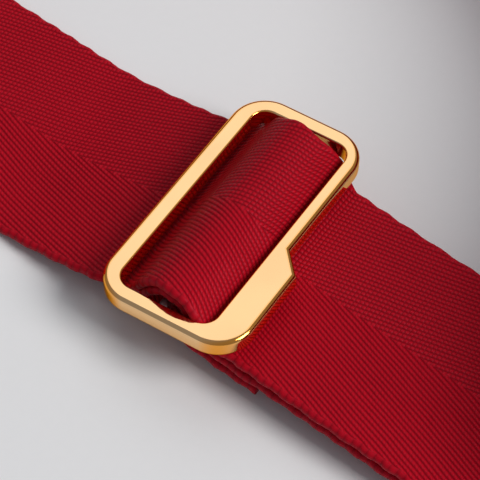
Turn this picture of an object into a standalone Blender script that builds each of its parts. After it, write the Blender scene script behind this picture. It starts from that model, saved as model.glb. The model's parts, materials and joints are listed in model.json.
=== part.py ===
"""Saxophone neck strap: 40 mm webbing, a plate slider and a swivel trigger hook.

Frame: X runs along the strap from the slider towards the hook, Y lies across the strap,
Z is up, and the origin is on the table in the middle of the strap's footprint. The sizes and
places below are measured from the table under the slider, and stand_on_origin shifts them.

The strap is one length of webbing. Its first end is sewn round the slider's centre bar,
it runs to the hook plate, folds back round the plate's first bar, passes through the slider,
goes round the neck standing on its edge, and is sewn round the plate's second bar.
Nodes named webbing_... are stretches of that one length.
"""

import math

import bmesh
import bpy
from mathutils import Matrix, Vector

MM = 0.001
GAP = 0.3  # clearance between pieces that touch, mm

# Webbing, mm
WEB_WIDTH = 39.2  # nominal 40 mm webbing measures a little less
WEB_THICK = 1.6
HALF_WEB = WEB_THICK / 2
LAYER = WEB_THICK + GAP  # from one layer's middle to the next
TABLE_LAYER = HALF_WEB + 0.05  # middle of a layer that lies on the table

# Slider: a plate frame whose +X bar is wider over its near half, mm
SLIDER_CENTRE = (0.0, 0.8, 9.93)
SLIDER_YAW = 3.0  # degrees
SLIDER_PITCH = 6.4  # degrees, +X side up
PLATE_THICK = 3.3
PLATE_EDGE = 0.3
SLIDER_HALF_LENGTH = 24.0
SLIDER_LEFT = -11.5
SLIDER_RIGHT = 11.5
SLIDER_TAB = 15.0
STEP_TOP = -1.4
STEP_FOOT = -5.3
SLIDER_CORNER = 6.2
WINDOW_LEFT = -8.3
WINDOW_RIGHT = 9.1
WINDOW_HALF_LENGTH = 21.2
WINDOW_CORNER = 2.7
BAR_X = 0.4
BAR_RADIUS = 1.0
BAR_HOLE_RADIUS = 1.3
BAR_HOLE_DEPTH = 1.5
WRAP_RADIUS = BAR_RADIUS + GAP + HALF_WEB
WRAP_TURN = (40, 235)  # degrees round the bar, from the strand above to the tail below
SQUARE_WITHIN = 18.0  # this near the slider the webbing lies square to its bars
SKEW_REACH = 55.0  # and from here it is square to X

# Where the stretches of webbing meet, mm along X
ENTRY_START = -60.0
ARCH_START = -11.5
ARCH_END = 14.8
RUN_END = 112.0
WRAP_END = 20.0
TAIL_END = 18.6

# Hook plate, mm
BAR_ONE = (148.0, 151.2)
BAR_TWO = (157.6, 160.8)
BAR_THREE = (167.0, 171.5)
HOOK_PLATE_HALF = 24.6
SLOT_HALF = 21.4
SLOT_CORNER = 2.0
HOOK_Z = 3.6
FOLD_RADIUS = PLATE_THICK / 2 + GAP + HALF_WEB
END_TAIL = 119.0
END_TWIST_DONE = 116.0
END_ARC_START = 60  # degrees on the second bar, where the strand meets it

# Sewn boxes, mm
STITCH_HALF_WIDTH = 16.5
STITCH_SEAM = 1.1
STITCH_CROSS = 0.6  # width of the cross against the seam
STITCH_THICK = 0.3
SLIDER_STITCHES = (10.4, 17.4)
SLIDER_STITCHES_TOP = 1.9
SLIDER_STITCHES_TILT = 1.9  # degrees
HOOK_STITCHES = (121.0, 144.0)

# Swivel, hook and trigger gate, mm
CUTTER_REACH = 4.0  # how far a cutter goes past what it cuts
BOSS_RADIUS = 3.4
BOSS_END = 176.0
RIVET_RADIUS = 1.3
RIVET_BORE = 1.6
RIVET_HEAD_RADIUS = 2.2
RIVET_HEAD_LENGTH = 1.5
WASHER = (176.3, 177.1)
COLLAR = (177.4, 184.5)
RIVET_TIP = 181.4
HOOK_WIRE = 2.4
SHANK_X = 190.0
SHANK_START = (185.5, 7.1)
HOOK_BOW_X = 205.0
HOOK_BOW_RADIUS = 8.6
NOSE_X = 202.0
LUG = (182.8, 190.6, -10.2, 10.9)  # left, right, bottom, top
LUG_CORNER = 2.6
LUG_HALF_THICK = HOOK_WIRE + 0.55
GATE_PIVOT = (187.4, -7.4)
GATE_TIP_X = 201.4
GATE_ROOT = 2.3
GATE_TIP_HALF = 1.7
GATE_HALF_THICK = 1.6
GATE_EDGE = 0.35
SLOT_HALF_THICK = 1.95
SLOT_LOW = (184.6, -12.0)
SLOT_HIGH = (192.0, -3.7)
POCKET_HALF_THICK = 0.95
POCKET_LOW = (184.0, -9.6)
POCKET_HIGH = (190.2, -2.0)
PIN_RADIUS = 0.8
PIN_BORE = 1.05
PIN_RECESS = 0.05  # the pin's ends lie just below the lug's faces

# Neck loop standing on its edge, mm
TWIST_START = -62.0
TWIST_LENGTH = 75.0
NECK_MIDDLE_Y = 55.0
LIFT_START = 30.0  # from here the returning end climbs onto the layers below
LIFT_LENGTH = 70.0
END_TWIST_START = 48.0

# The frame's origin, in the middle of the footprint, measured from the slider, mm
ORIGIN = (11.6, 45.2, 0.0)

CRIMSON = (0.45, 0.003, 0.013)
GOLD = (1.0, 0.64, 0.32)
STEEL = (0.55, 0.55, 0.57)


# ---------------------------------------------------------------- scene helpers


def clear_scene():
    for obj in list(bpy.data.objects):
        bpy.data.objects.remove(obj, do_unlink=True)


def make_collection(name):
    collection = bpy.data.collections.new(name)
    bpy.context.scene.collection.children.link(collection)
    return collection


def make_material(name, colour, roughness, metallic):
    material = bpy.data.materials.new(name)
    material.use_nodes = True
    shader = material.node_tree.nodes["Principled BSDF"]
    shader.inputs["Base Color"].default_value = (*colour, 1.0)
    shader.inputs["Roughness"].default_value = roughness
    shader.inputs["Metallic"].default_value = metallic
    return material


def add_object(name, data, look, parent=None):
    """Puts new object data in the part's collection, or, without a look, among the cutters."""
    obj = bpy.data.objects.new(name, data)
    if look is None:
        cutters.objects.link(obj)
        obj.hide_render = True
        obj.display_type = "WIRE"
    else:
        part.objects.link(obj)
        obj.data.materials.append(make_material(name, *look))
    obj.parent = parent
    return obj


def add_empty(name, location, rotation=(0.0, 0.0, 0.0)):
    empty = bpy.data.objects.new(name, None)
    part.objects.link(empty)
    empty.location = Vector(location) * MM
    empty.rotation_euler = [math.radians(angle) for angle in rotation]
    empty.empty_display_size = 0.01
    return empty


def mesh_from(build, *args):
    """A mesh made by build(bm, *args)."""
    bm = bmesh.new()
    build(bm, *args)
    bmesh.ops.recalc_face_normals(bm, faces=bm.faces)
    mesh = bpy.data.meshes.new("mesh")
    bm.to_mesh(mesh)
    bm.free()
    return mesh


def curve_to_mesh(curve_obj, look, parent=None):
    """Replaces a curve object by a mesh object of the same name, with its caps welded."""
    name = curve_obj.name
    bpy.context.view_layer.update()
    graph = bpy.context.evaluated_depsgraph_get()
    mesh = bpy.data.meshes.new_from_object(curve_obj.evaluated_get(graph))
    bm = bmesh.new()
    bm.from_mesh(mesh)
    bmesh.ops.remove_doubles(bm, verts=bm.verts, dist=0.00001)
    bmesh.ops.recalc_face_normals(bm, faces=bm.faces)
    bm.to_mesh(mesh)
    bm.free()
    matrix = curve_obj.matrix_world.copy()
    bpy.data.objects.remove(curve_obj, do_unlink=True)
    mesh.materials.clear()
    obj = add_object(name, mesh, look)
    obj.matrix_world = matrix
    if parent is not None:
        obj.parent = parent
        bpy.context.view_layer.update()
        obj.matrix_parent_inverse = parent.matrix_world.inverted()
    return obj


def boolean(obj, tool, operation):
    modifier = obj.modifiers.new(operation.lower(), "BOOLEAN")
    modifier.operation = operation
    modifier.solver = "EXACT"
    modifier.object = tool


def round_edges(obj, width, segments=1):
    bevel = obj.modifiers.new("edges", "BEVEL")
    bevel.width = width * MM
    bevel.segments = segments
    bevel.limit_method = "ANGLE"
    bevel.angle_limit = math.radians(50)


def smooth(obj, angle=35):
    obj.data.shade_smooth()
    obj.data.set_sharp_from_angle(angle=math.radians(angle))


# ---------------------------------------------------------------- outlines and paths


def ease(value):
    value = min(max(value, 0.0), 1.0)
    return value * value * (3 - 2 * value)


def arc(centre, radius, start, end, steps):
    """Points on an arc, angles in degrees."""
    angles = [math.radians(start + (end - start) * i / steps) for i in range(steps + 1)]
    return [(centre[0] + radius * math.cos(a), centre[1] + radius * math.sin(a)) for a in angles]


def rounded_box(left, right, bottom, top, radius, steps=8):
    """A rectangle's outline with round corners, counter-clockwise from the lower right corner."""
    points = []
    corners = ((right, bottom, -90), (right, top, 0), (left, top, 90), (left, bottom, 180))
    for x, y, start in corners:
        centre = (x - math.copysign(radius, x - (left + right) / 2),
                  y - math.copysign(radius, y - (bottom + top) / 2))
        points += arc(centre, radius, start, start + 90, steps)
    return points


def flat_plate(name, outlines, thickness, look, parent=None):
    """A flat outline with holes as a solid plate centred on its own Z = 0."""
    curve = bpy.data.curves.new(name, "CURVE")
    curve.dimensions = "2D"
    curve.fill_mode = "BOTH"
    curve.extrude = thickness / 2 * MM
    for outline in outlines:
        spline = curve.splines.new("POLY")
        spline.points.add(len(outline) - 1)
        for point, (x, y) in zip(spline.points, outline):
            point.co = (x * MM, y * MM, 0.0, 1.0)
        spline.use_cyclic_u = True
    curve_obj = bpy.data.objects.new(name, curve)
    part.objects.link(curve_obj)
    if parent is not None:
        bpy.context.view_layer.update()
        curve_obj.matrix_world = parent.matrix_world
    return curve_to_mesh(curve_obj, look, parent)


def tube(name, points, radius, look, resolution=2):
    """A round wire along the given points."""
    curve = bpy.data.curves.new(name, "CURVE")
    curve.dimensions = "3D"
    curve.bevel_depth = radius * MM
    curve.bevel_resolution = resolution
    curve.use_fill_caps = True
    spline = curve.splines.new("POLY")
    spline.points.add(len(points) - 1)
    for point, place in zip(spline.points, points):
        point.co = (*(Vector(place) * MM), 1.0)
    curve_obj = bpy.data.objects.new(name, curve)
    part.objects.link(curve_obj)
    return curve_to_mesh(curve_obj, look)


def cylinder(name, radius, start, end, look, sides=24, end_radius=None):
    """A cylinder, or cone, between two points."""
    start, end = Vector(start), Vector(end)
    along = end - start

    def build(bm):
        turn = Vector((0, 0, 1)).rotation_difference(along).to_matrix().to_4x4()
        place = Matrix.Translation((start + end) / 2 * MM) @ turn
        top = radius if end_radius is None else end_radius
        bmesh.ops.create_cone(bm, cap_ends=True, segments=sides, radius1=radius * MM,
                              radius2=top * MM, depth=along.length * MM, matrix=place)

    return add_object(name, mesh_from(build), look)


def box(name, low, high, look):
    low, high = Vector(low), Vector(high)

    def build(bm):
        place = Matrix.Translation((low + high) / 2 * MM) @ Matrix.Diagonal((*(high - low) * MM, 1))
        bmesh.ops.create_cube(bm, size=1.0, matrix=place)

    return add_object(name, mesh_from(build), look)


def through(points, steps):
    """A smooth curve through the points, with so many steps between each two."""
    ends = [points[0]] + list(points) + [points[-1]]
    made = []
    for i in range(1, len(ends) - 2):
        a, b, c, d = (Vector(p) for p in ends[i - 1:i + 3])
        for step in range(steps):
            t = step / steps
            made.append(0.5 * (2 * b + (c - a) * t + (2 * a - 5 * b + 4 * c - d) * t * t
                               + (3 * b - a - 3 * c + d) * t ** 3))
    return made + [Vector(points[-1])]


def flowing(points, steps):
    """A cubic B-spline drawn by the points, from the first to the last of them."""
    first, last = Vector(points[0]), Vector(points[-1])
    ends = [2 * first - Vector(points[1])] + [Vector(p) for p in points]
    ends.append(2 * last - Vector(points[-2]))
    made = []
    for a, b, c, d in zip(ends, ends[1:], ends[2:], ends[3:]):
        for step in range(steps):
            t = step / steps
            made.append(((1 - t) ** 3 * a + (3 * t ** 3 - 6 * t * t + 4) * b
                         + (-3 * t ** 3 + 3 * t * t + 3 * t + 1) * c + t ** 3 * d) / 6)
    return made + [last]


def cut(path, start, end):
    """The part of an XZ path between two values of X, where X always grows."""
    inside = [p for p in path if start + 0.2 < p.x < end - 0.2]

    def at(x):
        for p, q in zip(path, path[1:]):
            if p.x <= x <= q.x:
                return p.lerp(q, (x - p.x) / (q.x - p.x))
        return path[-1]

    return [at(start)] + inside + [at(end)]


def ribbon(name, places, across, look, width=WEB_WIDTH, columns=2, thick=WEB_THICK):
    """Webbing along places: an open strip, as wide as across says, given its thickness."""
    rows = len(places) - 1

    def build(bm):
        bmesh.ops.create_grid(bm, x_segments=rows, y_segments=columns, size=1.0)
        for vert in bm.verts:
            row = round((vert.co.x + 1) / 2 * rows)
            vert.co = (places[row] + across[row] * (vert.co.y * width / 2)) * MM

    obj = add_object(name, mesh_from(build), look)
    solidify = obj.modifiers.new("thickness", "SOLIDIFY")
    solidify.thickness = thick * MM
    solidify.offset = 0.0
    solidify.use_even_offset = True
    smooth(obj)
    return obj


def level_ribbon(name, path, look):
    """Webbing on an XZ path, its width along Y, or along the slider's bars near the slider."""
    places = [Vector((p.x, 0.0, p.y)) for p in path]
    across = []
    for p in path:
        squared = 1 - ease((abs(p.x) - SQUARE_WITHIN) / (SKEW_REACH - SQUARE_WITHIN))
        angle = math.radians(SLIDER_YAW * squared)
        across.append(Vector((math.sin(angle), -math.cos(angle), 0.0)))
    return ribbon(name, places, across, look)


# ---------------------------------------------------------------- the slider


def slider_outline():
    """Outer edge, counter-clockwise: the tab fills the +X side from the step down."""
    r = SLIDER_CORNER
    bottom, top = -SLIDER_HALF_LENGTH, SLIDER_HALF_LENGTH
    return (arc((SLIDER_TAB - r, bottom + r), r, -90, 0, 10)
            + [(SLIDER_TAB, STEP_FOOT), (SLIDER_RIGHT, STEP_TOP)]
            + arc((SLIDER_RIGHT - r, top - r), r, 0, 90, 10)
            + arc((SLIDER_LEFT + r, top - r), r, 90, 180, 10)
            + arc((SLIDER_LEFT + r, bottom + r), r, 180, 270, 10))


def make_slider():
    seat = add_empty("slider_seat", SLIDER_CENTRE, (0, -SLIDER_PITCH, SLIDER_YAW))
    window = rounded_box(WINDOW_LEFT, WINDOW_RIGHT, -WINDOW_HALF_LENGTH, WINDOW_HALF_LENGTH,
                         WINDOW_CORNER)
    frame = flat_plate("slider_frame", [slider_outline(), window], PLATE_THICK, gold, seat)
    round_edges(frame, PLATE_EDGE)
    reach = WINDOW_HALF_LENGTH + BAR_HOLE_DEPTH
    hole = cylinder("bar_hole", BAR_HOLE_RADIUS, (BAR_X, -reach, 0), (BAR_X, reach, 0), None, 16)
    rod_end = reach - GAP
    bar = cylinder("slider_centre_bar", BAR_RADIUS, (BAR_X, -rod_end, 0), (BAR_X, rod_end, 0),
                   steel, 16)
    for obj in (hole, bar):
        obj.parent = seat
    boolean(frame, hole, "DIFFERENCE")
    smooth(frame)
    smooth(bar)


# ---------------------------------------------------------------- webbing near the slider


def upper_path():
    """Middle of the webbing from the table, under, over and under the slider, to the hook plate."""
    flat = TABLE_LAYER
    return through([(-64, flat), (-48, flat), (-34, flat + 0.2), (-25, 2.3), (-18, 3.75),
                    (-13.5, 4.95), (-10, 5.6), (-7.5, 6.1), (-5.6, 8.4), (-3.9, 11.7), (-1.4, 13.8),
                    (1.0, 14.3), (3.6, 13.4), (5.6, 11.3), (7.0, 9.3), (8.6, 8.1), (10.6, 7.5),
                    (14.8, 6.9), (26, 6.45), (36, 6.05), (45, 5.6), (60, 4.5), (75, 3.4),
                    (90, 2.85), (104, 2.8), (112, 2.9), (124, 3.9), (136, 5.6), (146, 6.3),
                    (BAR_ONE[1], HOOK_Z + FOLD_RADIUS)], 4)


def lower_path():
    """Middle of the layer below, from the slider's wrap to the hook plate."""
    flat = TABLE_LAYER
    return through([(8, 5.9), (11, 5.3), (14.8, 4.95), (20, 4.75), (26, 4.5), (36, 4.1), (45, 3.65),
                    (60, 2.55), (75, 1.5), (90, 0.95), (104, flat), (112, flat),
                    (130, flat), (BAR_ONE[1], flat)], 4)


def wrap_path(bar_x, bar_z):
    """The sewn end: in below the arch, over and round the centre bar, and back as the tail."""
    turn = [Vector(p) for p in arc((bar_x, bar_z), WRAP_RADIUS, *WRAP_TURN, 14)]
    strand = through([(WRAP_END - GAP, 4.77), (14.8, 4.95), (11, 5.3), (8, 5.95), (5.2, 7.7),
                      turn[0]], 3)
    tail = through([turn[-1], (3.6, 5.2), (7.4, 3.7), (11, 3.25), (14.8, 3.05), (TAIL_END, 2.95)], 3)
    return strand[:-1] + turn + tail[1:]


def make_slider_webbing():
    upper = upper_path()
    lower = lower_path()
    level_ribbon("webbing_slider_entry", cut(upper, ENTRY_START, ARCH_START), crimson)
    level_ribbon("webbing_slider_arch", cut(upper, ARCH_START + GAP, ARCH_END), crimson)
    level_ribbon("webbing_upper_run", cut(upper, ARCH_END + GAP, RUN_END), crimson)
    level_ribbon("webbing_lower_run", cut(lower, WRAP_END, RUN_END), crimson)
    wrap = wrap_path(SLIDER_CENTRE[0] + BAR_X, SLIDER_CENTRE[2])
    level_ribbon("webbing_slider_wrap", wrap, crimson)
    make_stitch("stitch_slider_end", SLIDER_STITCHES, SLIDER_STITCHES_TOP, SLIDER_STITCHES_TILT)


def make_stitch(name, span, height, tilt):
    """A box of stitching with a cross inside: four triangles are left open in a flat plate."""
    half, reach = STITCH_HALF_WIDTH, (span[1] - span[0]) / 2
    outline = [(-reach, -half), (reach, -half), (reach, half), (-reach, half)]
    x, y = reach - STITCH_SEAM, half - STITCH_SEAM
    slant = STITCH_CROSS * STITCH_SEAM * math.hypot(x, y)
    near, side = slant / x, slant / y
    openings = [[(-x + side, -y), (x - side, -y), (0, -near)], [(0, near), (x - side, y), (-x + side, y)],
                [(x, -y + near), (x, y - near), (side, 0)], [(-x, y - near), (-x, -y + near), (-side, 0)]]
    seat = add_empty(name + "_seat", ((span[0] + span[1]) / 2, 0, height), (0, tilt, 0))
    flat_plate(name, [outline] + openings, STITCH_THICK, dark_crimson, seat)


# ---------------------------------------------------------------- webbing at the hook plate


def make_hook_webbing():
    upper = cut(upper_path(), RUN_END + GAP, BAR_ONE[1])
    lower = cut(lower_path(), RUN_END + GAP, BAR_ONE[1])
    turn = [Vector(p) for p in arc((BAR_ONE[1], HOOK_Z), FOLD_RADIUS, 90, -90, 12)]
    level_ribbon("webbing_hook_fold", upper[:-1] + turn + lower[-2::-1], crimson)

    strand_z = HOOK_Z + FOLD_RADIUS + 2 * LAYER
    tail_z = strand_z - LAYER
    side = BAR_TWO[0] - GAP - HALF_WEB
    tight = GAP + HALF_WEB
    turn = [Vector(p) for p in arc((BAR_TWO[1], HOOK_Z), FOLD_RADIUS, END_ARC_START, -90, 10)]
    strand = through([(END_TWIST_DONE + GAP, strand_z), (134, strand_z), (150, strand_z),
                      (154.5, strand_z - 0.3), (158.4, strand_z - 1.7), turn[0]], 3)
    corner = [Vector(p) for p in arc((BAR_TWO[0], HOOK_Z - FOLD_RADIUS + tight), tight, -90, -180, 4)]
    tail = through([corner[-1], (side, 4.6), (155.4, 7.2), (152.8, tail_z), (148, tail_z),
                    (134, tail_z), (END_TAIL, tail_z)], 3)
    level_ribbon("webbing_end_loop", strand[:-1] + turn + corner + tail[1:], crimson)
    make_stitch("stitch_hook_end", HOOK_STITCHES, strand_z + HALF_WEB + STITCH_THICK, 0)


# ---------------------------------------------------------------- the neck loop


def neck_plan():
    """The loop's plan from the slider side to the hook side, as points of X and Y."""
    return flowing([(ENTRY_START - GAP, 0), (-72, 0), (-86, 0), (-102, 0), (-118, 0), (-136, 1.5),
                    (-157, 7), (-176, 20), (-189, 40), (-193, 62), (-186, 84), (-168, 100),
                    (-143, 109), (-112, 113), (-80, 114), (-48, 112), (-18, 106), (8, 96), (32, 79),
                    (53, 57), (70, 33), (84, 12), (97, 1.5), (108, 0), (END_TWIST_DONE, 0)], 5)


def neck_turn(place):
    """How far the webbing is turned about its length: 0 flat, 90 on edge, 180 flat the other way up."""
    if place.y < NECK_MIDDLE_Y and place.x < 0:
        return 90 * ease((TWIST_START - place.x) / TWIST_LENGTH)
    return 90 + 90 * ease((place.x - END_TWIST_START) / (END_TWIST_DONE - END_TWIST_START))


def neck_frames():
    """The middle and the across direction at each station of the neck loop."""
    plan = neck_plan()
    top_z = HOOK_Z + FOLD_RADIUS + 2 * LAYER
    places, across = [], []
    for i, place in enumerate(plan):
        forward = (plan[min(i + 1, len(plan) - 1)] - plan[max(i - 1, 0)]).normalized()
        level = Vector((-forward.y, forward.x, 0.0))
        turn = math.radians(neck_turn(place))
        on_edge = math.sin(turn)
        lift = 0.0
        if place.x > LIFT_START:
            lift = (top_z - TABLE_LAYER) * ease((place.x - LIFT_START) / LIFT_LENGTH)
        table = TABLE_LAYER - HALF_WEB
        height = table + WEB_WIDTH / 2 * on_edge + HALF_WEB * abs(math.cos(turn)) + lift
        places.append(Vector((place.x, place.y, height)))
        across.append(level * math.cos(turn) + Vector((0, 0, on_edge)))
    return places, across


def make_neck_webbing():
    places, across = neck_frames()
    ribbon("webbing_neck_run", places, across, crimson, columns=4)


# ---------------------------------------------------------------- hook plate, swivel and hook


def make_hook_plate():
    level = add_empty("hook_plate_seat", (0, 0, HOOK_Z))
    outline = rounded_box(BAR_ONE[0], BAR_THREE[1], -HOOK_PLATE_HALF, HOOK_PLATE_HALF, SLIDER_CORNER)
    slots = [rounded_box(BAR_ONE[1], BAR_TWO[0], -SLOT_HALF, SLOT_HALF, SLOT_CORNER, 5),
             rounded_box(BAR_TWO[1], BAR_THREE[0], -SLOT_HALF, SLOT_HALF, SLOT_CORNER, 5)]
    plate = flat_plate("hook_plate", [outline] + slots, PLATE_THICK, gold, level)
    round_edges(plate, PLATE_EDGE)
    boss = cylinder("boss", BOSS_RADIUS, (BAR_THREE[0] + 0.4, 0, HOOK_Z), (BOSS_END, 0, HOOK_Z),
                    None, 28)
    bore = cylinder("rivet_bore", RIVET_BORE, (BAR_THREE[0] - CUTTER_REACH, 0, HOOK_Z),
                    (BOSS_END + CUTTER_REACH, 0, HOOK_Z), None, 20)
    boolean(plate, boss, "UNION")
    boolean(plate, bore, "DIFFERENCE")
    smooth(plate)


def turned(name, profile, look, axis_z=HOOK_Z, steps=24):
    """A piece turned about the X axis through the hook's middle. profile: (x, radius), closed."""
    mesh = bpy.data.meshes.new(name)
    bm = bmesh.new()
    verts = [bm.verts.new((radius * MM, 0.0, x * MM)) for x, radius in profile]
    for a, b in zip(verts, verts[1:]):
        bm.edges.new((a, b))
    bm.to_mesh(mesh)
    bm.free()
    obj = add_object(name, mesh, look)
    obj.rotation_euler = (0.0, math.radians(90), 0.0)
    obj.location = (0.0, 0.0, axis_z * MM)
    screw = obj.modifiers.new("turn", "SCREW")
    screw.steps = steps
    screw.render_steps = steps
    screw.merge_threshold = 0.00001
    screw.use_merge_vertices = True
    screw.use_smooth_shade = True
    return obj


def make_swivel():
    head = (BAR_THREE[0] - GAP - RIVET_HEAD_LENGTH, BAR_THREE[0] - GAP)
    turned("swivel_rivet", [(RIVET_TIP, 0), (RIVET_TIP, RIVET_RADIUS), (head[1], RIVET_RADIUS),
                            (head[1], RIVET_HEAD_RADIUS), (head[0] + 0.6, RIVET_HEAD_RADIUS),
                            (head[0], RIVET_HEAD_RADIUS * 0.6), (head[0], 0)], gold)
    turned("swivel_washer", [(WASHER[1], RIVET_BORE), (WASHER[1], BOSS_RADIUS),
                             (WASHER[0], BOSS_RADIUS), (WASHER[0], RIVET_BORE),
                             (WASHER[1], RIVET_BORE)], steel)


def hook_path():
    """Middle of the hook's round wire, from the shoulder round the bow to the nose."""
    r = HOOK_BOW_RADIUS
    points = [SHANK_START, (SHANK_X, r), (SHANK_X + 5, r), (SHANK_X + 10, r)]
    points += arc((HOOK_BOW_X, 0), r, 90, -90, 16)
    points += [(NOSE_X, -r)]
    return [(x, y, HOOK_Z) for x, y in points]


def make_hook_body():
    body = tube("hook_body", hook_path(), HOOK_WIRE, gold, 4)
    lug_seat = add_empty("hook_lug_seat", (0, 0, HOOK_Z))
    lug = flat_plate("hook_lug", [rounded_box(*LUG, LUG_CORNER)], 2 * LUG_HALF_THICK, None, lug_seat)
    collar = cylinder("hook_collar", BOSS_RADIUS, (COLLAR[0], 0, HOOK_Z), (COLLAR[1], 0, HOOK_Z),
                      None, 28)
    socket = cylinder("rivet_socket", RIVET_BORE, (COLLAR[0] - CUTTER_REACH, 0, HOOK_Z),
                      (RIVET_TIP + GAP, 0, HOOK_Z), None, 20)
    gate_slot = box("gate_slot", (*SLOT_LOW, HOOK_Z - SLOT_HALF_THICK),
                    (*SLOT_HIGH, HOOK_Z + SLOT_HALF_THICK), None)
    past = LUG_HALF_THICK + CUTTER_REACH
    pin_hole = cylinder("pin_hole", PIN_BORE, (*GATE_PIVOT, HOOK_Z - past),
                        (*GATE_PIVOT, HOOK_Z + past), None, 16)
    boolean(body, lug, "UNION")
    boolean(body, collar, "UNION")
    for tool in (socket, gate_slot, pin_hole):
        boolean(body, tool, "DIFFERENCE")
    smooth(body)


def make_gate():
    """The trigger gate: a round root on the pin, a lever to the nose and a thumb tab outside."""
    px, py = GATE_PIVOT
    r = HOOK_BOW_RADIUS
    thumb_tab = [(189.0, -10.6), (190.6, -12.2), (192.8, -13.0), (195.4, -12.4), (196.2, -11.2)]
    lever = [(198.0, -r - 2.0), (GATE_TIP_X, -r - GATE_TIP_HALF), (GATE_TIP_X, -r + GATE_TIP_HALF),
             (194.0, -6.6)]
    outline = arc((px, py), GATE_ROOT, 100, 225, 8) + thumb_tab + lever
    seat = add_empty("gate_seat", (0, 0, HOOK_Z))
    gate = flat_plate("gate", [outline], 2 * GATE_HALF_THICK, gold, seat)
    past = GATE_HALF_THICK + CUTTER_REACH
    bore = cylinder("gate_bore", PIN_BORE, (px, py, HOOK_Z - past), (px, py, HOOK_Z + past), None, 16)
    pocket = box("spring_pocket", (*POCKET_LOW, HOOK_Z - POCKET_HALF_THICK),
                 (*POCKET_HIGH, HOOK_Z + POCKET_HALF_THICK), None)
    round_edges(gate, GATE_EDGE)
    boolean(gate, bore, "DIFFERENCE")
    boolean(gate, pocket, "DIFFERENCE")
    smooth(gate)
    end = LUG_HALF_THICK - PIN_RECESS
    pin = cylinder("gate_pin", PIN_RADIUS, (px, py, HOOK_Z - end), (px, py, HOOK_Z + end), steel, 16)
    smooth(pin)


def make_gate_spring():
    """A torsion spring round the pin, with one leg along the gate."""
    px, py = GATE_PIVOT
    wire, coil, turns, pitch, per_turn = 0.18, 1.3, 2.5, 0.5, 14
    steps = round(turns * per_turn)
    points = []
    for i in range(steps + 1):
        angle = math.radians(90) - 2 * math.pi * turns * (1 - i / steps)
        points.append((px + coil * math.cos(angle), py + coil * math.sin(angle),
                       HOOK_Z + (i / steps - 0.5) * turns * pitch))
    points.append((px + 2.2, py + coil, points[-1][2]))
    spring = tube("gate_spring", points, wire, steel, 1)
    smooth(spring)


# ---------------------------------------------------------------- assembly


def stand_on_origin():
    for obj in list(part.objects) + list(cutters.objects):
        if obj.parent is None:
            obj.location -= Vector(ORIGIN) * MM


gold = (GOLD, 0.12, 1.0)
steel = (STEEL, 0.3, 1.0)
crimson = (CRIMSON, 0.6, 0.0)
dark_crimson = ((0.22, 0.006, 0.014), 0.7, 0.0)

clear_scene()
part = make_collection("saxophone_neck_strap")
cutters = make_collection("cutters")
make_slider()
make_slider_webbing()
make_hook_webbing()
make_neck_webbing()
make_hook_plate()
make_swivel()
make_hook_body()
make_gate()
make_gate_spring()
stand_on_origin()
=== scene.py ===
"""Looks of the saxophone neck strap: woven webbing, polished fittings, stitching, floor, light, camera.

Places are millimetres in the strap's own coordinates, the same as in the CAD: X runs along the
strap with the slider's middle at 0, Y across it from its middle, Z up from the table. row() takes
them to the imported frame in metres. The webbing is one strap, so its route is one line, worked out
from its sewn end at the slider to its sewn end at the hook, and each piece is a stretch of it.
"""

import json
import math

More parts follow.
